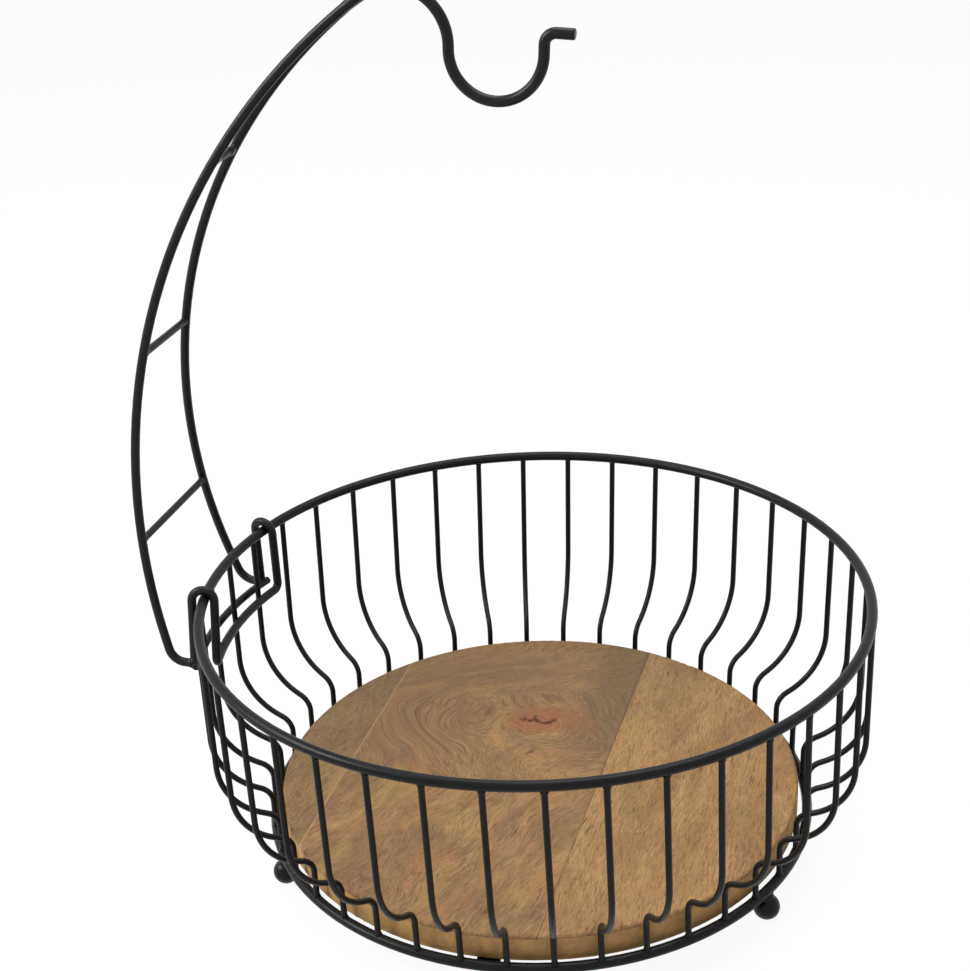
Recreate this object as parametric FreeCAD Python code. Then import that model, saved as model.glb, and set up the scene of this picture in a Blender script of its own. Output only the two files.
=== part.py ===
import FreeCAD
import Part
import math
import os

os.makedirs("parts", exist_ok=True)

# A round fruit bowl of welded wire with a wooden floor, and a banana hanger that hooks over its rim.
# All lengths are millimetres and all angles degrees, counted from the +X axis towards +Y.
# Everything is drawn about the bowl's axis, with Z = 0 on the table that the ball feet stand on.
# Each height of a ring or a rod is the height of its centre line.
# The finished pieces move together until the middle of the whole footprint is over the origin.

# The two rings of the bowl.
rim_ring_radius = 145.0
rim_rod_diameter = 4.5
rim_height = 118.2
base_ring_inset = 23.4
base_rod_diameter = 4.5
base_ring_height = 13.7

# The ribs between them: straight, a wide belly bend inwards, a tight heel bend, straight again.
# Each one leans a little sideways, so its foot stands further round than its top.
rib_count = 40
rib_diameter = 2.6
rib_first_angle = 7.5
rib_outside_rim_axis = 0.9
rib_straight_length = 53.6
rib_belly_radius = 30.4
rib_heel_radius = 8.4
rib_slope_length = 2.4
rib_lean_angle = 1.2

# The ball feet, each with a short neck that reaches the base ring.
foot_count = 3
foot_first_angle = 96.6
foot_ball_diameter = 11.4
foot_neck_diameter = 4.0

# The wooden floor, glued up from three planks and turned round.
# The shares say how far off the middle the two glue lines lie, as parts of the floor's radius.
floor_thickness = 12.5
floor_edge_round = 1.2
floor_to_base_axis = 4.2
floor_below_base_axis = 0.2
plank_grain_angle = 89.6
right_seam_share = 0.246
left_seam_share = -0.741

# The tabs under the floor, with one wood screw through each.
tab_after_foot_angle = 57.9
tab_length = 21.0
tab_width = 9.6
tab_thickness = 1.5
tab_screw_inset = 6.0
screw_diameter = 3.0
screw_hole_clearance = 0.4
screw_depth = 8.0
screw_head_diameter = 6.0
screw_head_height = 1.6

# The banana hanger stands at this angle of the rim, with its two halves mirrored about it.
# It hangs on the rim and leans in over the bowl until its inner wire rests by the ribs.
hanger_angle = 180.0
hanger_lean_angle = 3.5
leg_rod_diameter = 4.0
leg_arc_radius = 251.6
leg_reach_outside_rim = 27.6
leg_reach_above_rim = 60.6
leg_arc_end_below_rim = 20.0
leg_lower_half_spread = 38.5
leg_middle_half_spread = 19.9
leg_foot_bend_radius = 8.2

# The clip wire that hooks over the rim twice, and the cross wire outside the ribs.
clip_rod_diameter = 4.0
clip_top_half_angle = 13.9
clip_foot_half_angle = 15.0
clip_rim_clearance = 0.75
clip_outward_shift = 0.5
clip_downward_shift = 0.3
clip_corner_setback = 3.2
cross_rod_diameter = 3.6
cross_rib_clearance = 0.4
cross_below_rim = 31.2
cross_stub_angle = 1.4

# The rungs that hold the legs apart, measured along the leg from the lower end of its long arc.
rung_diameter = 3.2
lower_rung_distance = 45.7
middle_rung_distance = 131.2
upper_rung_distance = 221.7

# The hook rod: over the top, down, round the bottom of the hook and out to a short tip.
hook_rod_diameter = 4.5
hook_top_bend_radius = 22.0
hook_drop_distance = 39.6
hook_straight_length = 0.3
hook_bottom_radius = 18.9
hook_rise_length = 4.0
hook_tip_bend_radius = 4.6
hook_tip_length = 7.3

# The free ends of the hook and the cross wire have their sharp edges rounded off.
rod_end_round = 0.6

# Values that follow from the sizes above.
rim_rod_radius = rim_rod_diameter / 2
base_rod_radius = base_rod_diameter / 2
rib_radius = rib_diameter / 2
leg_rod_radius = leg_rod_diameter / 2
clip_rod_radius = clip_rod_diameter / 2
cross_rod_radius = cross_rod_diameter / 2
foot_ball_radius = foot_ball_diameter / 2
base_ring_radius = rim_ring_radius - base_ring_inset
rib_top_radius = rim_ring_radius + rib_outside_rim_axis
floor_radius = base_ring_radius - floor_to_base_axis
floor_bottom_height = base_ring_height - floor_below_base_axis
right_seam_offset = floor_radius * right_seam_share
left_seam_offset = floor_radius * left_seam_share
leg_reach = rim_ring_radius + leg_reach_outside_rim
cross_height = rim_height - cross_below_rim
cross_ring_radius = rib_top_radius + rib_radius + cross_rib_clearance + cross_rod_radius
clip_arch_radius = rim_rod_radius + clip_rod_radius + clip_rim_clearance
tab_screw_radius = base_ring_radius - tab_length + tab_screw_inset
vertical = FreeCAD.Vector(0, 0, 1)
axis_point = FreeCAD.Vector(0, 0, 0)
pieces = {}


def point(x, y, z):
    return FreeCAD.Vector(x, y, z)


def around(radius, angle, height):
    turn = math.radians(angle)
    return point(radius * math.cos(turn), radius * math.sin(turn), height)


def line(start, end):
    return Part.LineSegment(start, end).toShape()


def arc(start, middle, end):
    return Part.Arc(start, middle, end).toShape()


def rod(edges, radius):
    # A round rod whose centre line is the chain of edges, with flat ends.
    path = Part.Wire(edges)
    first = edges[0]
    start = first.valueAt(first.FirstParameter)
    direction = first.tangentAt(first.FirstParameter)
    section = Part.Wire([Part.makeCircle(radius, start, direction)])
    return path.makePipeShell([section], True, False)


def ring(ring_radius, rod_radius, height):
    return Part.makeTorus(ring_radius, rod_radius, point(0, 0, height), vertical)


def turned(shape, angle):
    copy = shape.copy()
    copy.rotate(axis_point, vertical, angle)
    return copy


def hung(shape):
    # A piece of the hanger, drawn upright at the +X side, leaned over the rim and turned to its place.
    copy = shape.copy()
    copy.rotate(point(rim_ring_radius, 0, rim_height), point(0, 1, 0), -hanger_lean_angle)
    return turned(copy, hanger_angle)


def bend(corner, coming, going, setback):
    # The arc that rounds a corner between two directions and starts one setback before the corner.
    half_turn = math.acos(coming.dot(going)) / 2
    radius = setback / math.tan(half_turn)
    inwards = (going - coming).normalize()
    middle = corner + inwards * (radius / math.cos(half_turn) - radius)
    return arc(corner - coming * setback, middle, corner + going * setback)


def soft_ended(shape, end):
    # The same rod with the sharp edge round one of its ends rounded off.
    sharp = [edge for edge in shape.Edges if edge.CenterOfMass.distanceToPoint(end) < 0.01]
    return shape.makeFillet(rod_end_round, sharp)


def keep(shape, node):
    pieces[node] = shape


def rim_ring():
    return ring(rim_ring_radius, rim_rod_radius, rim_height)


def base_ring():
    return ring(base_ring_radius, base_rod_radius, base_ring_height)


def rib_slope_angle():
    # The bend angle at which belly, slope and heel together reach from the rim in to the base ring.
    inset = rib_top_radius - base_ring_radius
    bends = rib_belly_radius + rib_heel_radius
    reach = math.hypot(bends, rib_slope_length)
    lead = math.atan2(rib_slope_length, bends)
    return math.acos((bends - inset) / reach) - lead


def rib(rim, base):
    # One rib in the XZ plane, its ends shaped to the round of the two rings.
    slope = rib_slope_angle()
    top = point(rib_top_radius, 0, rim_height)
    belly_start = point(rib_top_radius, 0, rim_height - rib_straight_length)
    belly_centre = belly_start + point(-rib_belly_radius, 0, 0)
    half = slope / 2
    belly_middle = belly_centre + point(math.cos(half), 0, -math.sin(half)) * rib_belly_radius
    belly_end = belly_centre + point(math.cos(slope), 0, -math.sin(slope)) * rib_belly_radius
    along = point(-math.sin(slope), 0, -math.cos(slope))
    heel_start = belly_end + along * rib_slope_length
    heel_centre = heel_start + point(math.cos(slope), 0, -math.sin(slope)) * rib_heel_radius
    heel_middle = heel_centre + point(-math.cos(half), 0, math.sin(half)) * rib_heel_radius
    heel_end = heel_centre + point(-rib_heel_radius, 0, 0)
    foot = point(heel_end.x, 0, base_ring_height)
    edges = [
        line(top, belly_start),
        arc(belly_start, belly_middle, belly_end),
        line(belly_end, heel_start),
        arc(heel_start, heel_middle, heel_end),
        line(heel_end, foot),
    ]
    wire = rod(edges, rib_radius)
    wire.rotate(top, point(1, 0, 0), rib_lean_angle)
    return wire.cut(rim).cut(base)


def foot(base):
    # A ball foot at the +X side, its neck shaped to the underside of the base ring.
    ball = Part.makeSphere(foot_ball_radius, point(base_ring_radius, 0, foot_ball_radius))
    neck_length = base_ring_height - base_rod_radius * 0.6 - foot_ball_radius
    neck_start = point(base_ring_radius, 0, foot_ball_radius)
    neck = Part.makeCylinder(foot_neck_diameter / 2, neck_length, neck_start, vertical)
    return ball.fuse(neck).cut(base).removeSplitter()


def tab(base):
    # A flat tab at the +X side, welded inside the base ring and drilled for its screw.
    outer = base_ring_radius - base_rod_radius / 2
    inner = base_ring_radius - tab_length
    height = floor_bottom_height - tab_thickness
    corner = point(inner, -tab_width / 2, height)
    plate = Part.makeBox(outer - inner, tab_width, tab_thickness, corner)
    inner_corners = [
        edge
        for edge in plate.Edges
        if abs(edge.CenterOfMass.x - inner) < 0.01 and abs(abs(edge.CenterOfMass.y) - tab_width / 2) < 0.01
    ]
    plate = plate.makeFillet(tab_width * 0.3, inner_corners)
    hole_radius = (screw_diameter + screw_hole_clearance) / 2
    hole_start = point(tab_screw_radius, 0, height - 1)
    hole = Part.makeCylinder(hole_radius, tab_thickness + 2, hole_start, vertical)
    return plate.cut(hole).cut(base)


def screw():
    # A wood screw with a domed head, driven up through the tab at the +X side.
    head_top = floor_bottom_height - tab_thickness
    head_bottom = head_top - screw_head_height
    head_start = point(tab_screw_radius, 0, head_bottom)
    head = Part.makeCylinder(screw_head_diameter / 2, screw_head_height, head_start, vertical)
    lower_rim = [edge for edge in head.Edges if abs(edge.CenterOfMass.z - head_bottom) < 0.01]
    head = head.makeFillet(screw_head_height * 0.6, lower_rim)
    shank_length = tab_thickness + screw_depth
    shank_start = point(tab_screw_radius, 0, head_top)
    shank = Part.makeCylinder(screw_diameter / 2, shank_length, shank_start, vertical)
    return head.fuse(shank)


def floor_disc(screws):
    # The whole turned disc with its softened edges and the holes the screws have cut.
    disc = Part.makeCylinder(floor_radius, floor_thickness, point(0, 0, floor_bottom_height), vertical)
    rims = [edge for edge in disc.Edges if edge.Closed]
    disc = disc.makeFillet(floor_edge_round, rims)
    for driven in screws:
        disc = disc.cut(driven)
    return disc


def plank(disc, start_offset, end_offset):
    # The slice of the disc between two glue lines that run along the grain.
    reach = floor_radius * 1.2
    corner = point(start_offset, -reach, floor_bottom_height - 1)
    slab = Part.makeBox(end_offset - start_offset, 2 * reach, floor_thickness + 2, corner)
    return disc.common(turned(slab, plank_grain_angle - 90))


def leg_arc():
    # The long bend of the leg on the +Y side, seen with the hanger standing at the +X side.
    centre_x = leg_reach - leg_arc_radius
    centre_z = rim_height + leg_reach_above_rim
    low_z = rim_height - leg_arc_end_below_rim
    top = hook_start()
    middle_z = (low_z + top.z) / 2
    low_x = centre_x + math.sqrt(leg_arc_radius ** 2 - (low_z - centre_z) ** 2)
    middle_x = centre_x + math.sqrt(leg_arc_radius ** 2 - (middle_z - centre_z) ** 2)
    low = point(low_x, leg_lower_half_spread, low_z)
    middle = point(middle_x, leg_middle_half_spread, middle_z)
    high = point(top.x, leg_rod_radius, top.z)
    return arc(low, middle, high)


def hook_top_centre():
    # The centre of the top bend, placed so that the bend runs on smoothly from the legs' long arc.
    centre_x = hook_drop_distance + hook_top_bend_radius
    across = centre_x - (leg_reach - leg_arc_radius)
    between = leg_arc_radius - hook_top_bend_radius
    centre_z = rim_height + leg_reach_above_rim + math.sqrt(between ** 2 - across ** 2)
    return point(centre_x, 0, centre_z)


def hook_start():
    centre = hook_top_centre()
    leg_centre = point(leg_reach - leg_arc_radius, 0, rim_height + leg_reach_above_rim)
    outward = (centre - leg_centre).normalize()
    return centre + outward * hook_top_bend_radius


def hook():
    start = hook_start()
    centre = hook_top_centre()
    drop_start = centre + point(-hook_top_bend_radius, 0, 0)
    half_way = (start - centre).normalize() + point(-1, 0, 0)
    over = centre + half_way.normalize() * hook_top_bend_radius
    drop_end = drop_start - vertical * hook_straight_length
    bottom = drop_end + point(-hook_bottom_radius, 0, -hook_bottom_radius)
    rise_start = drop_end + point(-2 * hook_bottom_radius, 0, 0)
    rise_end = rise_start + vertical * hook_rise_length
    tip_centre = rise_end + point(-hook_tip_bend_radius, 0, 0)
    tip_middle = tip_centre + point(1, 0, 1).normalize() * hook_tip_bend_radius
    tip_start = tip_centre + vertical * hook_tip_bend_radius
    tip = tip_start + point(-hook_tip_length, 0, 0)
    edges = [
        arc(start, over, drop_start),
        line(drop_start, drop_end),
        arc(drop_end, bottom, rise_start),
        line(rise_start, rise_end),
        arc(rise_end, tip_middle, tip_start),
        line(tip_start, tip),
    ]
    return soft_ended(rod(edges, hook_rod_diameter / 2), tip)


def clip_wire(cross):
    # One rod: up outside the ribs, over the rim, down inside, along the ribs, and the same back.
    hook_radius = rim_ring_radius + clip_outward_shift
    low = cross_height + cross_rod_radius / 2

    def over_rim(side):
        # The edges of one bend over the rim; its plane leans so that its foot stands further round.
        top_angle = clip_top_half_angle * side
        centre = around(hook_radius, top_angle, rim_height - clip_downward_shift)
        outward = around(1, top_angle, 0)
        down = around(hook_radius, clip_foot_half_angle * side, cross_height) - centre
        down = (down - outward * down.dot(outward)).normalize()
        outside_high = centre + outward * clip_arch_radius
        outside_low = outside_high + down * ((outside_high.z - low) / -down.z)
        crown = centre - down * clip_arch_radius
        inside_high = centre - outward * clip_arch_radius
        corner = inside_high + down * ((inside_high.z - cross_height) / -down.z)
        corner_radius = math.hypot(corner.x, corner.y)
        corner_turn = math.degrees(math.asin(clip_corner_setback / corner_radius))
        corner_angle = math.degrees(math.atan2(corner.y, corner.x))
        inside_radius = math.sqrt(corner_radius ** 2 - clip_corner_setback ** 2)
        inside_start = around(inside_radius, corner_angle - corner_turn * side, cross_height)
        along = (inside_start - corner).normalize()
        edges = [
            line(outside_low, outside_high),
            arc(outside_high, crown, inside_high),
            line(inside_high, corner - down * clip_corner_setback),
            bend(corner, down, along, clip_corner_setback),
        ]
        return edges, inside_start

    first_side, inside_start = over_rim(1)
    second_side, inside_end = over_rim(-1)
    inside_middle = point(math.hypot(inside_start.x, inside_start.y), 0, cross_height)
    inside = arc(inside_start, inside_middle, inside_end)
    whole = rod(first_side, clip_rod_radius)
    whole = whole.fuse(rod([inside], clip_rod_radius))
    whole = whole.fuse(rod(second_side, clip_rod_radius))
    return whole.cut(cross).removeSplitter()


def cross_wire():
    # The rod outside the ribs that joins the feet of the two legs.
    reach = clip_foot_half_angle + cross_stub_angle
    start = around(cross_ring_radius, -reach, cross_height)
    middle = around(cross_ring_radius, 0, cross_height)
    end = around(cross_ring_radius, reach, cross_height)
    wire = rod([arc(start, middle, end)], cross_rod_radius)
    return soft_ended(soft_ended(wire, start), end)


def leg(cross, clip):
    # The leg on the +Y side: the long arc, a bend at the foot, and a short run in to the cross wire.
    long_arc = leg_arc()
    start = long_arc.valueAt(long_arc.FirstParameter)
    down = long_arc.tangentAt(long_arc.FirstParameter) * -1
    corner = start + down * ((start.z - cross_height) / -down.z)
    target = around(cross_ring_radius + cross_rod_radius / 2, clip_foot_half_angle, cross_height)
    inward = (target - corner).normalize()
    setback = leg_foot_bend_radius * math.tan(math.acos(down.dot(inward)) / 2)
    edges = [
        line(target, corner + inward * setback),
        bend(corner, inward * -1, down * -1, setback),
        line(corner - down * setback, start),
        long_arc,
    ]
    return rod(edges, leg_rod_radius).cut(cross).cut(clip)


def mirrored(shape):
    return shape.mirror(axis_point, point(0, 1, 0))


def rung(distance, near_leg, far_leg):
    # A straight rod between the legs' centre lines, its ends shaped to the round of the legs.
    long_arc = leg_arc()
    near = long_arc.valueAt(long_arc.getParameterByLength(distance))
    far = point(near.x, -near.y, near.z)
    return rod([line(near, far)], rung_diameter / 2).cut(near_leg).cut(far_leg)


def build_bowl():
    rim = rim_ring()
    base = base_ring()
    keep(rim, "rim_ring")
    keep(base, "base_ring")
    first_rib = rib(rim, base)
    for index in range(rib_count):
        angle = rib_first_angle + index * 360.0 / rib_count
        keep(turned(first_rib, angle), "rib_%02d" % (index + 1))
    first_foot = foot(base)
    first_tab = tab(base)
    first_screw = screw()
    screws = []
    for index in range(foot_count):
        foot_angle = foot_first_angle + index * 360.0 / foot_count
        tab_angle = foot_angle + tab_after_foot_angle
        keep(turned(first_foot, foot_angle), "ball_foot_%d" % (index + 1))
        keep(turned(first_tab, tab_angle), "floor_tab_%d" % (index + 1))
        screws.append(turned(first_screw, tab_angle))
    keep(Part.makeCompound(screws), "floor_screws")
    disc = floor_disc(screws)
    keep(plank(disc, -1.1 * floor_radius, left_seam_offset), "floor_plank_left")
    keep(plank(disc, left_seam_offset, right_seam_offset), "floor_plank_middle")
    keep(plank(disc, right_seam_offset, 1.1 * floor_radius), "floor_plank_right")


def build_hanger():
    cross = cross_wire()
    clip = clip_wire(cross)
    near_leg = leg(cross, clip)
    far_leg = mirrored(near_leg)
    keep(hung(cross), "hanger_cross_wire")
    keep(hung(clip), "hanger_clip_wire")
    keep(hung(near_leg), "hanger_leg_near")
    keep(hung(far_leg), "hanger_leg_far")
    keep(hung(hook()), "hanger_hook")
    distances = (lower_rung_distance, middle_rung_distance, upper_rung_distance)
    names = ("hanger_rung_lower", "hanger_rung_middle", "hanger_rung_upper")
    for distance, name in zip(distances, names):
        keep(hung(rung(distance, near_leg, far_leg)), name)


def save_over_origin():
    whole = Part.makeCompound(list(pieces.values()))
    footprint = whole.optimalBoundingBox(False, False)
    to_origin = point(-footprint.Center.x, -footprint.Center.y, 0)
    for node, shape in pieces.items():
        shape.translate(to_origin)
        shape.exportStep("parts/" + node + ".step")


build_bowl()
build_hanger()
save_over_origin()
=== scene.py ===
import math

import bmesh
import bpy
from mathutils import Matrix, Vector


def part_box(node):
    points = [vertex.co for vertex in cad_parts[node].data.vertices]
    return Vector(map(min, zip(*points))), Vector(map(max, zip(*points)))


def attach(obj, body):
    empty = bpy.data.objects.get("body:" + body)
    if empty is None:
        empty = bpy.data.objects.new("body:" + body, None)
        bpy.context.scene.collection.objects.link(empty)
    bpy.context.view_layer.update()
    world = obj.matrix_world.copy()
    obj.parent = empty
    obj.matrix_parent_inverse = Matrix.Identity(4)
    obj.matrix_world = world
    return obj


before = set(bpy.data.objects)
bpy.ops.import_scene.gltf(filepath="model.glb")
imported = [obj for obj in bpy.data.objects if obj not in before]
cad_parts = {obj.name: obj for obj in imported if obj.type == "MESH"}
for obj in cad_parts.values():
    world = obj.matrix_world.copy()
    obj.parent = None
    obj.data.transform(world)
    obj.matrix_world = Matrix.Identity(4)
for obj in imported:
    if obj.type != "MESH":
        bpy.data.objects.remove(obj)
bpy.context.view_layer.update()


# The two rings of the bowl.
# Steel wire bent round and butt welded, 4.5 mm thick.
# The whole bowl is powder coated black after welding: a dull skin with a faint orange peel.

coat_peel_scale = 900.0
coat_peel_strength = 0.35
coat_peel_depth = 0.00008
coat_peel_detail = 2.0
coat_cloud_scale = 38.0
coat_cloud_detail = 3.0
coat_cloud_roughness = 0.55
coat_cloud_low, coat_cloud_high = 0.3, 0.7
coat_shade_low, coat_shade_high = 0.82, 1.2
coat_rub = 0.06


def new_group(name, inputs, outputs):
    # A node group with named sockets; inputs give name, kind and starting value.
    group = bpy.data.node_groups.new(name, "ShaderNodeTree")
    for title, kind, value in inputs:
        socket = group.interface.new_socket(title, in_out="INPUT", socket_type=kind)
        socket.default_value = value
    for title, kind in outputs:
        group.interface.new_socket(title, in_out="OUTPUT", socket_type=kind)
    return group


def wire_up(tree, kind, sockets=None, **values):
    # Adds one node, sets its plain properties, and gives each named input a number or another node's output.
    node = tree.nodes.new(kind)
    for key, value in values.items():
        setattr(node, key, value)
    for socket, source in (sockets or {}).items():
        if isinstance(source, bpy.types.NodeSocket):
            tree.links.new(source, node.inputs[socket])
        else:
            node.inputs[socket].default_value = source
    return node


def maths(tree, operation, first, second=0.0):
    # One sum; each of its numbers is plain or another node's output.
    return wire_up(tree, "ShaderNodeMath", {0: first, 1: second}, operation=operation).outputs["Value"]


def plus(tree, first, second):
    return maths(tree, "ADD", first, second)


def noise(tree, place, scale, detail, roughness=0.5):
    sockets = {"Vector": place, "Scale": scale, "Detail": detail, "Roughness": roughness}
    return wire_up(tree, "ShaderNodeTexNoise", sockets).outputs


def ranged(tree, value, low, high, start, end, way="LINEAR"):
    # Runs from start to end while the value goes from low to high.
    sockets = {"Value": value, "From Min": low, "From Max": high, "To Min": start, "To Max": end}
    return wire_up(tree, "ShaderNodeMapRange", sockets, interpolation_type=way).outputs["Result"]


def powder_coat_group():
    group = new_group(
        "powder_coat",
        [
            ("Coat Color", "NodeSocketColor", (0.02, 0.02, 0.021, 1)),
            ("Dull", "NodeSocketFloat", 0.45),
            ("Peel Scale", "NodeSocketFloat", coat_peel_scale),
        ],
        [("Color", "NodeSocketColor"), ("Roughness", "NodeSocketFloat"), ("Height", "NodeSocketFloat")],
    )
    given = group.nodes.new("NodeGroupInput").outputs
    result = group.nodes.new("NodeGroupOutput").inputs
    place = group.nodes.new("ShaderNodeTexCoord").outputs["Object"]
    peel = noise(group, place, given["Peel Scale"], coat_peel_detail)["Fac"]
    cloud = noise(group, place, coat_cloud_scale, coat_cloud_detail, coat_cloud_roughness)["Fac"]
    shade = ranged(group, cloud, coat_cloud_low, coat_cloud_high, coat_shade_low, coat_shade_high)
    rub = ranged(group, cloud, coat_cloud_low, coat_cloud_high, -coat_rub, coat_rub)
    tinted = wire_up(
        group, "ShaderNodeVectorMath", {0: given["Coat Color"], "Scale": shade}, operation="SCALE",
    )
    group.links.new(tinted.outputs["Vector"], result["Color"])
    group.links.new(plus(group, given["Dull"], rub), result["Roughness"])
    group.links.new(peel, result["Height"])
    return group


powder_coat = powder_coat_group()


def patterned(name, group, sockets, bump_strength, bump_depth, shine):
    # A material whose colour, roughness and height come from one node group.
    material = bpy.data.materials.new(name)
    material.use_nodes = True
    tree = material.node_tree
    shader = tree.nodes["Principled BSDF"]
    pattern = wire_up(tree, "ShaderNodeGroup", sockets, node_tree=group).outputs
    relief = {"Height": pattern["Height"], "Strength": bump_strength, "Distance": bump_depth}
    bump = wire_up(tree, "ShaderNodeBump", relief)
    tree.links.new(pattern["Color"], shader.inputs["Base Color"])
    tree.links.new(pattern["Roughness"], shader.inputs["Roughness"])
    tree.links.new(bump.outputs["Normal"], shader.inputs["Normal"])
    shader.inputs["Specular IOR Level"].default_value = shine
    return material


def coated_steel(name, color, dull, shine):
    sockets = {"Coat Color": (*color, 1), "Dull": dull}
    return patterned(name, powder_coat, sockets, coat_peel_strength, coat_peel_depth, shine)


bowl_black = coated_steel("bowl_black", (0.006, 0.006, 0.0062), dull=0.35, shine=0.155)


def dress(node, material):
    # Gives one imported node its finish.
    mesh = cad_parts[node].data
    mesh.materials.clear()
    mesh.materials.append(material)


for ring in ("rim_ring", "base_ring"):
    dress(ring, bowl_black)

rim_low, rim_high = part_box("rim_ring")
base_low, base_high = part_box("base_ring")
bowl_axis = Vector(((rim_low.x + rim_high.x) / 2, (rim_low.y + rim_high.y) / 2, 0))
rim_rod = (rim_high.z - rim_low.z) / 2
rim_radius = (rim_high.x - rim_low.x) / 2 - rim_rod
rim_axis_height = (rim_high.z + rim_low.z) / 2
base_rod = (base_high.z - base_low.z) / 2
base_radius = (base_high.x - base_low.x) / 2 - base_rod
base_axis_height = (base_high.z + base_low.z) / 2


# The ribs.
# Forty bent wires, 2.6 mm thick, resistance welded to the outside of the rim and the top of the base ring.
# Each weld leaves a small soft collar that the coating rounds off further.

rib_count = 40
rib_wire = 0.0013
rib_first_turn = math.radians(7.5)
rib_lean = math.radians(1.2)
rib_outside_rim = 0.0009
rib_collar_flare = 0.00045
rib_collar_height = 0.0015

# A collar's outline as shares of its height and flare, then how far its edge and its back lie off the wire,
# what is left of its flare across the rod, and the share of that rod's radius at which it starts.
collar_outline = ((0.0, 1.0), (0.18, 0.62), (0.45, 0.28))
collar_feather = 0.00002
collar_root = 0.0003
collar_thin_share = 0.06
collar_seat = 0.92

for number in range(1, rib_count + 1):
    dress("rib_%02d" % number, bowl_black)


def weld_collar(mesh, foot, up, wire, flare, height, steps=14, thin_way=None):
    # A ring of weld metal round a wire: its outline is spun about the wire and closed inside it.
    # Across the rod that the wire stands on, the ring stays thin, because that rod falls away there.
    side = up.orthogonal().normalized()
    rows = [(height * along, wire + flare * out) for along, out in collar_outline]
    rows += [(height, wire + collar_feather), (height, wire - collar_root), (0.0, wire - collar_root)]
    outline = [mesh.verts.new(foot + up * along + side * reach) for along, reach in rows]
    edges = [mesh.edges.new(pair) for pair in zip(outline, outline[1:] + outline[:1])]
    before = len(mesh.verts) - len(outline)
    bmesh.ops.spin(
        mesh, geom=outline + edges, cent=foot, axis=up,
        angle=math.tau, steps=steps, use_merge=True,
    )
    if thin_way is None:
        return
    across = thin_way.normalized()
    for vert in list(mesh.verts)[before:]:
        offset = vert.co - foot
        flat = offset - up * offset.dot(up)
        reach = flat.length
        if reach > wire:
            snug = wire + (reach - wire) * collar_thin_share
            vert.co -= across * (flat.dot(across) * (1 - snug / reach))


def finished(mesh, name, material):
    # Turns a bmesh into a piece of the object that faces outward and rides on the frame.
    bmesh.ops.remove_doubles(mesh, verts=mesh.verts, dist=1e-6)
    bmesh.ops.recalc_face_normals(mesh, faces=mesh.faces)
    data = bpy.data.meshes.new(name)
    mesh.to_mesh(data)
    mesh.free()
    for face in data.polygons:
        face.use_smooth = True
    piece = bpy.data.objects.new(name, data)
    bpy.context.scene.collection.objects.link(piece)
    data.materials.append(material)
    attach(piece, "root")


top_welds = bmesh.new()
foot_welds = bmesh.new()
rib_slide = math.sin(rib_lean) * (rim_axis_height - base_axis_height)
for number in range(rib_count):
    turn = rib_first_turn + number * math.tau / rib_count
    out = Vector((math.cos(turn), math.sin(turn), 0))
    tangent = Vector((-math.sin(turn), math.cos(turn), 0))
    down = Vector((0, 0, -math.cos(rib_lean))) + tangent * math.sin(rib_lean)
    top = bowl_axis + out * (rim_radius + rib_outside_rim) + Vector((0, 0, rim_axis_height))
    weld_collar(
        top_welds, top + down * (rim_rod * collar_seat), down, rib_wire,
        rib_collar_flare, rib_collar_height, thin_way=out,
    )
    foot = bowl_axis + out * base_radius + tangent * rib_slide + Vector((0, 0, base_axis_height))
    weld_collar(
        foot_welds, foot - down * (base_rod * collar_seat), -down, rib_wire,
        rib_collar_flare, rib_collar_height,
    )
finished(top_welds, "rib_top_welds", bowl_black)
finished(foot_welds, "rib_foot_welds", bowl_black)


# The ball feet.
# Three turned steel balls with short necks, welded under the base ring and coated with it.

# Each neck from the ring down to the ball: height, half width along the ring, half depth outward.
neck_sections = (
    (0.0126, 0.0043, 0.0017),
    (0.0117, 0.0037, 0.0024),
    (0.0107, 0.0034, 0.0029),
    (0.0099, 0.0037, 0.0036),
    (0.0091, 0.0042, 0.0041),
)


def oval_sleeve(mesh, sections, sides=28):
    # A closed skin through a row of ovals, each given by its centre, its two half widths and their ways.
    last = None
    for centre, wide_way, half_wide, high_way, half_high in sections:
        forward = wide_way.cross(high_way)
        stand = Matrix.Translation(centre) @ Matrix((
            (wide_way.x, high_way.x, forward.x, 0),
            (wide_way.y, high_way.y, forward.y, 0),
            (wide_way.z, high_way.z, forward.z, 0),
            (0, 0, 0, 1),
        )) @ Matrix.Diagonal((half_wide, half_high, 1, 1))
        circle = bmesh.ops.create_circle(mesh, cap_ends=False, radius=1.0, segments=sides, matrix=stand)
        verts = set(circle["verts"])
        touching = {edge for vert in verts for edge in vert.link_edges}
        loop = [edge for edge in touching if set(edge.verts) <= verts]
        if last is None:
            first = loop
        else:
            bmesh.ops.bridge_loops(mesh, edges=last + loop)
        last = loop
    bmesh.ops.holes_fill(mesh, edges=first + last, sides=sides)


ball_necks = bmesh.new()
for number in (1, 2, 3):
    dress("ball_foot_%d" % number, bowl_black)
    foot_low, foot_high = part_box("ball_foot_%d" % number)
    ball_centre = (foot_low + foot_high) / 2
    outward = ball_centre - bowl_axis
    outward.z = 0
    outward.normalize()
    round_ring = Vector((-outward.y, outward.x, 0))
    oval_sleeve(ball_necks, [
        (Vector((ball_centre.x, ball_centre.y, height)), round_ring, wide, outward, deep)
        for height, wide, deep in neck_sections
    ])
finished(ball_necks, "ball_foot_necks", bowl_black)


# The tabs and their screws.
# Punched strips welded inside the base ring carry the wooden floor, with one zinc-plated wood screw each.

zinc_dark = (0.38, 0.37, 0.34, 1)
zinc_light = (0.62, 0.61, 0.58, 1)
zinc_rough_low, zinc_rough_high = 0.25, 0.45
zinc_grain_scale = 700.0
zinc_grain_detail = 3.0

for number in (1, 2, 3):
    dress("floor_tab_%d" % number, bowl_black)

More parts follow.
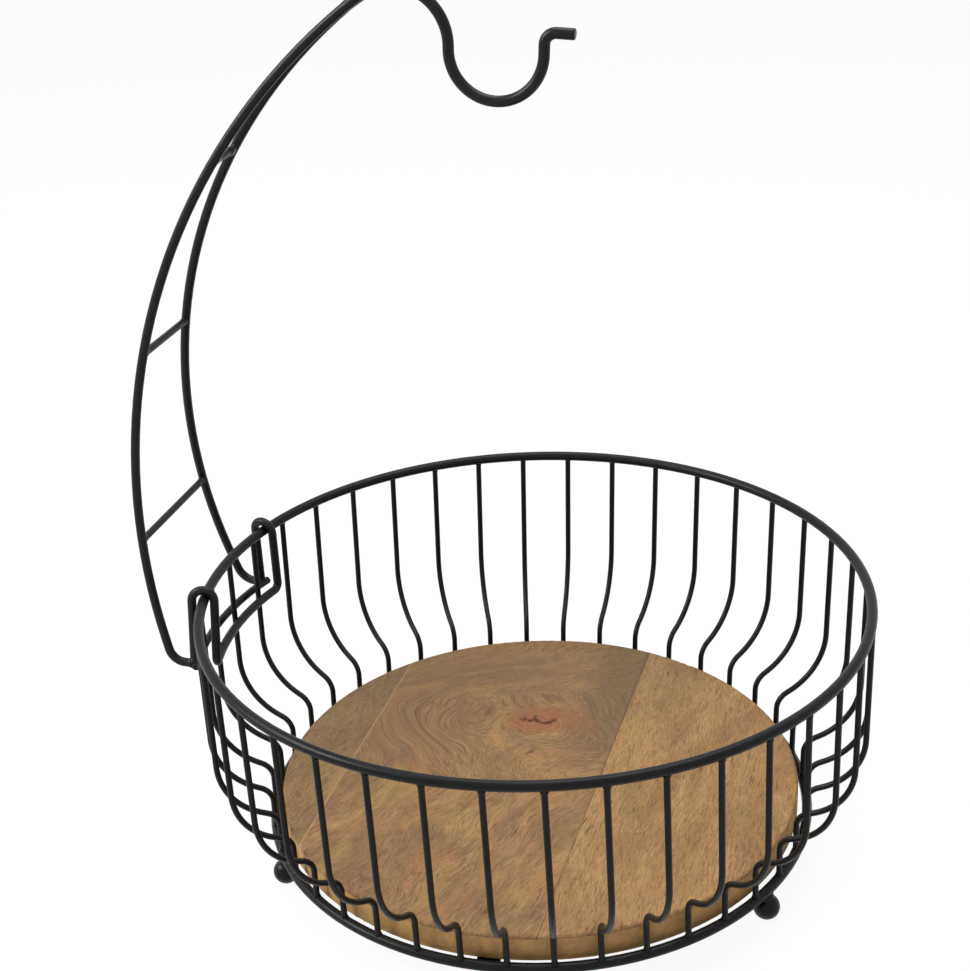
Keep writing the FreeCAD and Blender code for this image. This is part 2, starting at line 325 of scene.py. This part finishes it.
zinc_plate = bpy.data.materials.new("zinc_plate")
zinc_plate.use_nodes = True
zinc_tree = zinc_plate.node_tree
zinc_shader = zinc_tree.nodes["Principled BSDF"]
zinc_place = zinc_tree.nodes.new("ShaderNodeTexCoord").outputs["Object"]
zinc_grain = noise(zinc_tree, zinc_place, zinc_grain_scale, zinc_grain_detail)["Fac"]
zinc_tone = wire_up(zinc_tree, "ShaderNodeValToRGB", {"Fac": zinc_grain})
zinc_tone.color_ramp.elements[0].color = zinc_dark
zinc_tone.color_ramp.elements[1].color = zinc_light
zinc_rough = ranged(zinc_tree, zinc_grain, 0.0, 1.0, zinc_rough_low, zinc_rough_high)
zinc_tree.links.new(zinc_tone.outputs["Color"], zinc_shader.inputs["Base Color"])
zinc_tree.links.new(zinc_rough, zinc_shader.inputs["Roughness"])
zinc_shader.inputs["Metallic"].default_value = 1.0
dress("floor_screws", zinc_plate)


# The wooden floor.
# A disc turned from three glued planks of mango wood, sanded and lightly oiled.
# The middle plank has a small red knot that the grain sweeps round; the right one is straight and pale.

# In the wood's pattern each place is in millimetres from the bowl's axis, X across the planks, Y along them.
mm = 1000.0
wood_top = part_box("floor_plank_middle")[1].z * mm
grain_relief = 0.00015
grain_relief_strength = 0.6
wood_shine = 0.1
deep_dullness, pale_dullness = 0.62, 0.5

# Each figure of the grain: stretch per millimetre across, along and down, its detail, and its shift.
grain_figures = {
    "fibre": ((1.3, 0.15, 1.0), 5.0, 0.0),
    "streak": ((0.2, 0.026, 0.16), 6.0, 7.0),
    "patch": ((0.05, 0.022, 0.03), 5.0, 3.0),
    "pore": ((2.1, 0.2, 1.6), 1.0, 11.0),
    "fleck": ((0.62, 0.06, 0.5), 2.0, 23.0),
    "fleck_field": ((0.03, 0.03, 0.02), 1.0, 31.0),
    "speckle": ((3.0, 0.55, 2.2), 3.0, 19.0),
}
figure_roughness = 0.6

# Fibres and streaks together make the grain's lines: shares of each, and where the lines are deep and pale.
fibre_share = 0.66
streak_share = 0.34
lines_deep, lines_pale = 0.36, 0.64
lines_dull, lines_bright = 0.35, 0.65
fibre_height = 0.5
patch_start, patch_full = 0.46, 0.62
cloud_detail = 3.0

# Yellow, red and dull clouds in the wood: stretch, shift, where each starts and is full, its share and tone.
wood_clouds = (
    ((0.05, 0.026, 0.04), 41.0, 0.48, 0.66, 0.5, (0.4, 0.25, 0.085, 1)),
    ((0.06, 0.028, 0.05), 57.0, 0.5, 0.68, 0.45, (0.35, 0.155, 0.066, 1)),
    ((0.07, 0.034, 0.05), 73.0, 0.52, 0.68, 0.5, (0.17, 0.105, 0.07, 1)),
)

# The grain's way round the knot.
knot_place = (-10.9, 39.5)
knot_pull = 15.0
knot_core_area = 30.0
swirl_scale = 0.017
swirl_detail = 1.6
ring_flatness = 0.5
ring_inner, ring_outer = 4.0, 62.0

# The knot's red halo and its two dark curls: each curl's place beside and beyond the knot, and its radius.
halo_red = (0.29, 0.105, 0.046, 1)
halo_shift = 3.0
halo_flatness = 0.55
halo_inner, halo_outer = 2.0, 19.0
halo_raggedness = 22.0
halo_strength = 0.9
curl_black = (0.05, 0.02, 0.012, 1)
curls = ((-3.6, 2.0, 3.0), (3.2, 3.4, 4.8))
curl_inner, curl_outer = 0.4, 2.0
curl_strength = 0.95
curl_cut = 1.5
curl_wobble_scale = 0.35
curl_wobble_detail = 2.0
curl_wobble_reach = 5.0

# The grey stain by the right glue line, and painted shade darkening the far left.
stain_grey = (0.135, 0.1, 0.056, 1)
stain_strength = 0.8
stain_raggedness = 30.0
stain_start_across, stain_full_across = 2.0, 16.0
stain_start_along, stain_full_along = -10.0, 45.0
# Painted shade for the far left: its tone, strength, slant and the distance at which it is full.
far_shade_brown = (0.15, 0.11, 0.06, 1)
far_shade_strength = 0.42
far_shade_slant = 0.7
far_shade_full = 110.0

# Speckle, pores and flecks.
speckle_pale = (0.52, 0.34, 0.17, 1)
speckle_dark = (0.12, 0.07, 0.035, 1)
speckle_pale_share = 0.22
speckle_dark_share = 0.28
speckle_darkest, speckle_middle, speckle_palest = 0.32, 0.5, 0.68
pore_brown = (0.09, 0.055, 0.03, 1)
pore_share = 0.45
pore_start, pore_full = 0.56, 0.65
fleck_brown = (0.085, 0.052, 0.032, 1)
fleck_start, fleck_full = 0.61, 0.67
fleck_field_start, fleck_field_full = 0.5, 0.62

# Each glue line: its place across the disc, its strength and its tone. Then the turned edge, with a warmer
# end-grain tone and painted light that brightens its upright side.
glue_lines = (
    (28.9, 0.5, (0.07, 0.042, 0.024, 1)),
    (-87.0, 0.6, (0.42, 0.29, 0.13, 1)),
)
glue_inner, glue_outer = 0.15, 0.5
edge_lit_gold = (0.66, 0.38, 0.14, 1)
edge_light_strength = 0.7
edge_full_below_top = 1.6
edge_ends_below_top = 0.9
edge_streak_low, edge_streak_high = 0.35, 0.6
edge_most, edge_least = 1.15, 0.6


def minus(tree, first, second):
    return maths(tree, "SUBTRACT", first, second)


def times(tree, first, second):
    return maths(tree, "MULTIPLY", first, second)


def squares(tree, first, second):
    return plus(tree, times(tree, first, first), times(tree, second, second))


def span(tree, first, second):
    # The straight distance that two offsets at a right angle make.
    return maths(tree, "SQRT", squares(tree, first, second))


def ramp_up(tree, value, low, high, start=0.0, end=1.0):
    # The same as ranged, with a soft start and a soft end.
    return ranged(tree, value, low, high, start, end, way="SMOOTHSTEP")


def centred(tree, value, reach):
    # Turns noise round a half into a drift to both sides of nought.
    return times(tree, minus(tree, value, 0.5), reach)


def blend(tree, share, first, second):
    return wire_up(tree, "ShaderNodeMix", {0: share, 6: first, 7: second}, data_type="RGBA").outputs[2]


def figure(tree, grain, stretch, detail, shift):
    # Noise drawn out along the grain.
    sockets = {"Vector": grain, "Scale": stretch, "Location": (shift, shift, 0)}
    drawn = wire_up(tree, "ShaderNodeMapping", sockets).outputs["Vector"]
    return noise(tree, drawn, 1.0, detail, figure_roughness)["Fac"]


def grain_round_knot(tree, given, place, axes, beside, beyond):
    # The grain gives way to the knot as water does to a stone, and near it turns into rings.
    # The rings are flat: they lie across the plank.
    swirl = noise(tree, place, swirl_scale, swirl_detail)["Color"]
    swirl_across = wire_up(tree, "ShaderNodeSeparateXYZ", {"Vector": swirl}).outputs["X"]
    sway = centred(tree, swirl_across, given["Waviness"])
    room = plus(tree, squares(tree, beside, beyond), knot_core_area)
    pull = times(tree, maths(tree, "DIVIDE", knot_pull ** 2, room), given["Knot"])
    across = plus(tree, times(tree, beside, minus(tree, 1.0, pull)), sway)
    along = times(tree, beyond, plus(tree, 1.0, pull))
    across = minus(tree, across, times(tree, along, given["Slant"]))

    ring_way = span(tree, times(tree, beside, ring_flatness), beyond)
    turned = times(tree, ramp_up(tree, ring_way, ring_inner, ring_outer, 1.0, 0.0), given["Knot"])
    straight = minus(tree, 1.0, turned)
    swayed_ring = plus(tree, ring_way, sway)
    across = plus(tree, times(tree, across, straight), times(tree, swayed_ring, turned))
    along = plus(tree, times(tree, along, straight), times(tree, beside, turned))
    sockets = {"X": across, "Y": along, "Z": axes["Z"]}
    return wire_up(tree, "ShaderNodeCombineXYZ", sockets).outputs["Vector"]


def clouded_color(tree, given, grain, drawn, lines):
    # The plank's two tones by its fibres, then its patches and clouds.
    color = blend(tree, ramp_up(tree, lines, lines_deep, lines_pale), given["Deep Tone"], given["Pale Tone"])
    patches = times(tree, ramp_up(tree, drawn["patch"], patch_start, patch_full), given["Patches"])
    color = blend(tree, patches, color, given["Patch Tone"])
    for stretch, shift, low, high, share, tone in wood_clouds:
        cloud = ramp_up(tree, figure(tree, grain, stretch, cloud_detail, shift), low, high)
        cloud = times(tree, cloud, given["Clouds"])
        color = blend(tree, times(tree, cloud, share), color, tone)
    return color


def stained_and_shaded_color(tree, given, color, axes, streak):
    # Beside the right glue line the middle plank is stained grey towards its far end.
    ragged = plus(tree, axes["X"], centred(tree, streak, stain_raggedness))
    stain = times(
        tree,
        ramp_up(tree, ragged, stain_start_across, stain_full_across),
        ramp_up(tree, axes["Y"], stain_start_along, stain_full_along),
    )
    stain = times(tree, stain, times(tree, given["Knot"], stain_strength))
    color = blend(tree, stain, color, stain_grey)

    # Painted shade: the disc darkens and greys towards the far left, where the light falls off.
    far = minus(tree, axes["Y"], times(tree, axes["X"], far_shade_slant))
    return blend(tree, ramp_up(tree, far, 0.0, far_shade_full, 0.0, far_shade_strength), color, far_shade_brown)


def knotted_color(tree, given, color, place, beside, beyond, streak):
    # The knot: a red halo, wider across the plank, and two small dark curls where the branch died.
    halo_beside = times(tree, minus(tree, beside, halo_shift), halo_flatness)
    halo_way = plus(tree, span(tree, halo_beside, beyond), centred(tree, streak, halo_raggedness))
    halo = ramp_up(tree, halo_way, halo_inner, halo_outer, halo_strength, 0.0)
    color = blend(tree, times(tree, halo, given["Knot"]), color, halo_red)
    wobble = noise(tree, place, curl_wobble_scale, curl_wobble_detail)["Fac"]
    wobble = centred(tree, wobble, curl_wobble_reach)
    for curl_beside, curl_beyond, curl_radius in curls:
        to_side = minus(tree, plus(tree, beside, wobble), curl_beside)
        to_far = minus(tree, plus(tree, beyond, wobble), curl_beyond)
        off_curl = maths(tree, "ABSOLUTE", minus(tree, span(tree, to_side, to_far), curl_radius))
        line = ramp_up(tree, off_curl, curl_inner, curl_outer, curl_strength, 0.0)
        near_half = ramp_up(tree, to_far, -curl_cut, curl_cut, 1.0, 0.0)
        curl = times(tree, times(tree, line, near_half), given["Knot"])
        color = blend(tree, curl, color, curl_black)
    return color


def speckled_color(tree, given, color, drawn, pores):
    # A fine speckle lightens and darkens the wood between the pores.
    pale = ramp_up(tree, drawn["speckle"], speckle_middle, speckle_palest, 0.0, speckle_pale_share)
    color = blend(tree, pale, color, speckle_pale)
    dark = ramp_up(tree, drawn["speckle"], speckle_darkest, speckle_middle, speckle_dark_share, 0.0)
    color = blend(tree, dark, color, speckle_dark)

    # Open pores and a few dark flecks, both drawn out along the grain.
    color = blend(tree, pores, color, pore_brown)
    field = ramp_up(tree, drawn["fleck_field"], fleck_field_start, fleck_field_full)
    flecks = times(tree, ramp_up(tree, drawn["fleck"], fleck_start, fleck_full), field)
    return blend(tree, times(tree, flecks, given["Dark Flecks"]), color, fleck_brown)


def glued_and_edge_lit_color(tree, color, axes, streak):
    # The two glue lines, and the turned edge: a warmer end-grain tone, painted lighter as painted light for
    # its upright side, which the lamps barely reach.
    for seam, strength, tone in glue_lines:
        off_seam = maths(tree, "ABSOLUTE", minus(tree, axes["X"], seam))
        color = blend(tree, ramp_up(tree, off_seam, glue_inner, glue_outer, strength, 0.0), color, tone)
    # Painted light: the edge band is lit up in gold, stronger and weaker along the grain's streaks.
    edge = ramp_up(
        tree, axes["Z"], wood_top - edge_full_below_top, wood_top - edge_ends_below_top, edge_light_strength, 0.0,
    )
    edge_light_streaks = ramp_up(tree, streak, edge_streak_low, edge_streak_high, edge_most, edge_least)
    edge = times(tree, edge, edge_light_streaks)
    return blend(tree, edge, color, edge_lit_gold)


def mango_group():
    group = new_group(
        "mango_grain",
        [
            ("Pale Tone", "NodeSocketColor", (0.4, 0.25, 0.13, 1)),
            ("Deep Tone", "NodeSocketColor", (0.25, 0.15, 0.08, 1)),
            ("Patch Tone", "NodeSocketColor", (0.2, 0.14, 0.08, 1)),
            ("Patches", "NodeSocketFloat", 0.5),
            ("Clouds", "NodeSocketFloat", 0.5),
            ("Waviness", "NodeSocketFloat", 10.0),
            ("Slant", "NodeSocketFloat", 0.0),
            ("Knot", "NodeSocketFloat", 0.0),
            ("Dark Flecks", "NodeSocketFloat", 0.5),
        ],
        [("Color", "NodeSocketColor"), ("Roughness", "NodeSocketFloat"), ("Height", "NodeSocketFloat")],
    )
    given = group.nodes.new("NodeGroupInput").outputs
    result = group.nodes.new("NodeGroupOutput").inputs
    place = wire_up(group, "ShaderNodeMapping", {
        "Vector": group.nodes.new("ShaderNodeTexCoord").outputs["Object"],
        "Scale": (mm, mm, mm),
        "Location": (-bowl_axis.x * mm, -bowl_axis.y * mm, 0),
    }).outputs["Vector"]
    axes = wire_up(group, "ShaderNodeSeparateXYZ", {"Vector": place}).outputs
    beside = minus(group, axes["X"], knot_place[0])
    beyond = minus(group, axes["Y"], knot_place[1])

    grain = grain_round_knot(group, given, place, axes, beside, beyond)
    drawn = {name: figure(group, grain, *row) for name, row in grain_figures.items()}
    streak = drawn["streak"]
    lines = plus(group, times(group, drawn["fibre"], fibre_share), times(group, streak, streak_share))
    pores = ramp_up(group, drawn["pore"], pore_start, pore_full, 0.0, pore_share)

    color = clouded_color(group, given, grain, drawn, lines)
    color = stained_and_shaded_color(group, given, color, axes, streak)
    color = knotted_color(group, given, color, place, beside, beyond, streak)
    color = speckled_color(group, given, color, drawn, pores)
    color = glued_and_edge_lit_color(group, color, axes, streak)

    group.links.new(color, result["Color"])
    dullness = ramp_up(group, lines, lines_dull, lines_bright, deep_dullness, pale_dullness)
    group.links.new(dullness, result["Roughness"])
    height = minus(group, times(group, drawn["fibre"], fibre_height), pores)
    group.links.new(height, result["Height"])
    return group


mango_grain = mango_group()


def plank_wood(name, **looks):
    # The looks are the group's own inputs; a tone is given without its alpha.
    sockets = {}
    for look, amount in looks.items():
        socket = look.replace("_", " ").title()
        sockets[socket] = (*amount, 1) if socket.endswith("Tone") else amount
    return patterned(name, mango_grain, sockets, grain_relief_strength, grain_relief, wood_shine)


dress("floor_plank_right", plank_wood(
    "mango_pale",
    pale_tone=(0.43, 0.25, 0.108), deep_tone=(0.28, 0.158, 0.062), patch_tone=(0.225, 0.128, 0.052),
    patches=0.62, clouds=0.35, waviness=9.0, slant=0.0, knot=0.0, dark_flecks=0.65,
))
dress("floor_plank_middle", plank_wood(
    "mango_knotted",
    pale_tone=(0.385, 0.215, 0.096), deep_tone=(0.195, 0.113, 0.051), patch_tone=(0.19, 0.12, 0.052),
    patches=0.6, clouds=1.0, waviness=44.0, slant=0.3, knot=1.0, dark_flecks=0.7,
))
dress("floor_plank_left", plank_wood(
    "mango_brown",
    pale_tone=(0.29, 0.18, 0.085), deep_tone=(0.155, 0.096, 0.045), patch_tone=(0.3, 0.18, 0.075),
    patches=0.5, clouds=0.6, waviness=18.0, slant=0.12, knot=0.0, dark_flecks=0.6,
))


# The banana hanger.
# Two bent rods joined by three rungs, a hook rod, and a clip that drops over the rim.
# Its welds are fuller than the bowl's; the hook rod's end is dressed smooth between the two legs.

# A slightly lighter, shinier copy of the bowl's black coat: painted light for the hook's highlights.
hanger_lit_black = coated_steel("hanger_lit_black", (0.0075, 0.0075, 0.0077), dull=0.34, shine=0.19)
hanger_parts = (
    "leg_near", "leg_far", "rung_lower", "rung_middle", "rung_upper", "hook", "clip_wire", "cross_wire",
)
for part in hanger_parts:
    dress("hanger_" + part, hanger_lit_black)

leg_rod = 0.002
rung_rod = 0.0016
hanger_collar_steps = 24

# Each rung: the way the leg runs past its end, on the side towards the camera, and how far its weld flares.
rungs = {
    "lower": ((-0.084, 0.131, 0.988), 0.0011),
    "middle": ((0.248, 0.128, 0.96), 0.0011),
    "upper": ((0.569, 0.109, 0.815), 0.003),
}
rung_end_in_leg = 0.55
rung_weld_offset = 0.0009

rung_welds = bmesh.new()
for rung, (leg_way, flare) in rungs.items():
    rung_low, rung_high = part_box("hanger_rung_" + rung)
    rung_middle = (rung_low + rung_high) / 2
    half_length = rung_high.y - rung_middle.y
    for side in (-1, 1):
        inward = Vector((0, -side, 0))
        leg_centre = rung_middle + Vector((0, side * (half_length + leg_rod * rung_end_in_leg), 0))
        way = Vector((leg_way[0], -side * leg_way[1], leg_way[2]))
        weld_collar(
            rung_welds, leg_centre + inward * rung_weld_offset, inward, rung_rod, flare, leg_rod + flare,
            steps=hanger_collar_steps, thin_way=way.cross(inward),
        )
finished(rung_welds, "hanger_rung_welds", hanger_lit_black)

# Where the near leg's foot and the clip's upright meet the cross wire; the far side is their mirror image.
leg_foot = Vector((-0.135033, -0.038901, 0.087069))
leg_foot_way = Vector((-0.992, -0.107, 0.061)).normalized()
leg_foot_weld_offset = 0.0011
leg_foot_weld_flare = 0.0009
leg_foot_weld_height = 0.0024
upright_foot = Vector((-0.13524, -0.038787, 0.087983))
upright_way = Vector((0.039, 0.087, 0.995)).normalized()
upright_weld_offset = 0.0002
upright_weld_flare = 0.0006
upright_weld_height = 0.0018

clip_welds = bmesh.new()
for side in (-1, 1):
    turned_over = Matrix.Diagonal((1, -side, 1))
    leg_weld = leg_foot + leg_foot_way * leg_foot_weld_offset
    weld_collar(
        clip_welds, turned_over @ leg_weld, turned_over @ leg_foot_way, leg_rod,
        leg_foot_weld_flare, leg_foot_weld_height, steps=hanger_collar_steps, thin_way=Vector((0, 1, 0)),
    )
    upright_weld = upright_foot + upright_way * upright_weld_offset
    weld_collar(
        clip_welds, turned_over @ upright_weld, turned_over @ upright_way, leg_rod,
        upright_weld_flare, upright_weld_height, steps=hanger_collar_steps,
    )
finished(clip_welds, "hanger_clip_welds", hanger_lit_black)

# The dressed sleeve starts on the legs, before the hook rod's end, and follows the hook's first bend.
hook_start = Vector((-0.04731, 0, 0.372955))
hook_way = Vector((0.826, 0, 0.563)).normalized()
hook_out = Vector((-0.563, 0, 0.826)).normalized()
hook_bend = 0.022
hook_side = Vector((0, 1, 0))

# Each section of the sleeve: reach past the hook's start, half width and half height.
sleeve_sections = (
    (-0.0092, 0.0036, 0.0012),
    (-0.0086, 0.0046, 0.00195),
    (-0.0070, 0.00462, 0.00222),
    (-0.0035, 0.0043, 0.00236),
    (0.0, 0.0039, 0.00245),
    (0.0028, 0.0032, 0.00246),
    (0.0052, 0.00255, 0.00236),
    (0.0068, 0.00228, 0.00226),
    (0.0074, 0.0018, 0.0018),
)
sleeve_ovals = []
for reach, half_width, half_height in sleeve_sections:
    turn = max(reach, 0) / hook_bend
    up_way = hook_out * math.cos(turn) + hook_way * math.sin(turn)
    centre = hook_start + (up_way - hook_out) * hook_bend + hook_way * min(reach, 0)
    sleeve_ovals.append((centre, hook_side, half_width, up_way, half_height))
sleeve = bmesh.new()
oval_sleeve(sleeve, sleeve_ovals)
finished(sleeve, "hanger_hook_sleeve", hanger_lit_black)


# The table, the backdrop and the light.
# A plain white table and white surroundings, lit by large soft lamps from the left and above.

white = (1, 1, 1, 1)
table_half_width = 8.0
table_paint = (0.8, 0.8, 0.8, 1)
table_glow_strength = 1.04
table_glow_share = 0.9
room_fill = 0.31
room_white = 1.0

table = bmesh.new()
bmesh.ops.create_grid(table, x_segments=1, y_segments=1, size=table_half_width)
table_mesh = bpy.data.meshes.new("table_top")
table.to_mesh(table_mesh)
table.free()
table_top = bpy.data.objects.new("table_top", table_mesh)
bpy.context.scene.collection.objects.link(table_top)


def seen_rays(tree):
    # One for the rays that see the surroundings, straight, in a gloss or through, and nought for the rest.
    rays = tree.nodes.new("ShaderNodeLightPath").outputs
    seen = maths(tree, "MAXIMUM", rays["Is Camera Ray"], rays["Is Glossy Ray"])
    return maths(tree, "MAXIMUM", seen, rays["Is Transmission Ray"])


table_white = bpy.data.materials.new("table_white")
table_white.use_nodes = True
table_tree = table_white.node_tree
table_tree.nodes.clear()
table_out = table_tree.nodes.new("ShaderNodeOutputMaterial")
table_diffuse = wire_up(table_tree, "ShaderNodeBsdfDiffuse", {"Color": table_paint})
table_glow = wire_up(table_tree, "ShaderNodeEmission", {"Color": white, "Strength": table_glow_strength})
table_share = maths(table_tree, "MULTIPLY", seen_rays(table_tree), table_glow_share)
table_mix = wire_up(
    table_tree, "ShaderNodeMixShader",
    {0: table_share, 1: table_diffuse.outputs["BSDF"], 2: table_glow.outputs["Emission"]},
)
table_tree.links.new(table_mix.outputs["Shader"], table_out.inputs["Surface"])
table_mesh.materials.append(table_white)

world = bpy.data.worlds.new("studio")
bpy.context.scene.world = world
world.use_nodes = True
world_tree = world.node_tree
world_tree.nodes.clear()
world_out = world_tree.nodes.new("ShaderNodeOutputWorld")
world_fill = wire_up(world_tree, "ShaderNodeBackground", {"Color": white, "Strength": room_fill})
world_white = wire_up(world_tree, "ShaderNodeBackground", {"Color": white, "Strength": room_white})
world_mix = wire_up(
    world_tree, "ShaderNodeMixShader",
    {0: seen_rays(world_tree), 1: world_fill.outputs["Background"], 2: world_white.outputs["Background"]},
)
world_tree.links.new(world_mix.outputs["Shader"], world_out.inputs["Surface"])

bowl_middle = Vector((0, 0, 0.1))


def soft_lamp(name, place, size, watts):
    lamp = bpy.data.lights.new(name, "AREA")
    lamp.shape = "RECTANGLE"
    lamp.size, lamp.size_y = size
    lamp.energy = watts
    holder = bpy.data.objects.new(name, lamp)
    bpy.context.scene.collection.objects.link(holder)
    holder.location = place
    holder.rotation_mode = "QUATERNION"
    holder.rotation_quaternion = (bowl_middle - Vector(place)).to_track_quat("-Z", "Y")


soft_lamp("lamp_left", place=(-1.1, -0.5, 1.0), size=(0.75, 0.75), watts=20)
soft_lamp("lamp_top", place=(0.1, 0.3, 1.5), size=(1.2, 1.0), watts=14)

scene = bpy.context.scene
scene.view_settings.view_transform = "Standard"

# The camera stands where the photo was taken, found by fitting the rings, the ribs and the disc.
camera_right = (0.9548348, 0.2925185, -0.0521851)
camera_up = (-0.0835054, 0.4327180, 0.8976536)
camera_back = (0.2851617, -0.8527532, 0.4376012)
camera_place = (0.1955553, -0.6491775, 0.489186)
camera_data = bpy.data.cameras.new("camera")
camera_data.lens = 65.22
camera_data.sensor_width = 36.0
camera_data.shift_x = 0.03218
camera_data.shift_y = 0.02423
camera = bpy.data.objects.new("camera", camera_data)
scene.collection.objects.link(camera)
camera_turn = Matrix((camera_right, camera_up, camera_back)).transposed()
camera.matrix_world = Matrix.Translation(camera_place) @ camera_turn.to_4x4()
scene.camera = camera
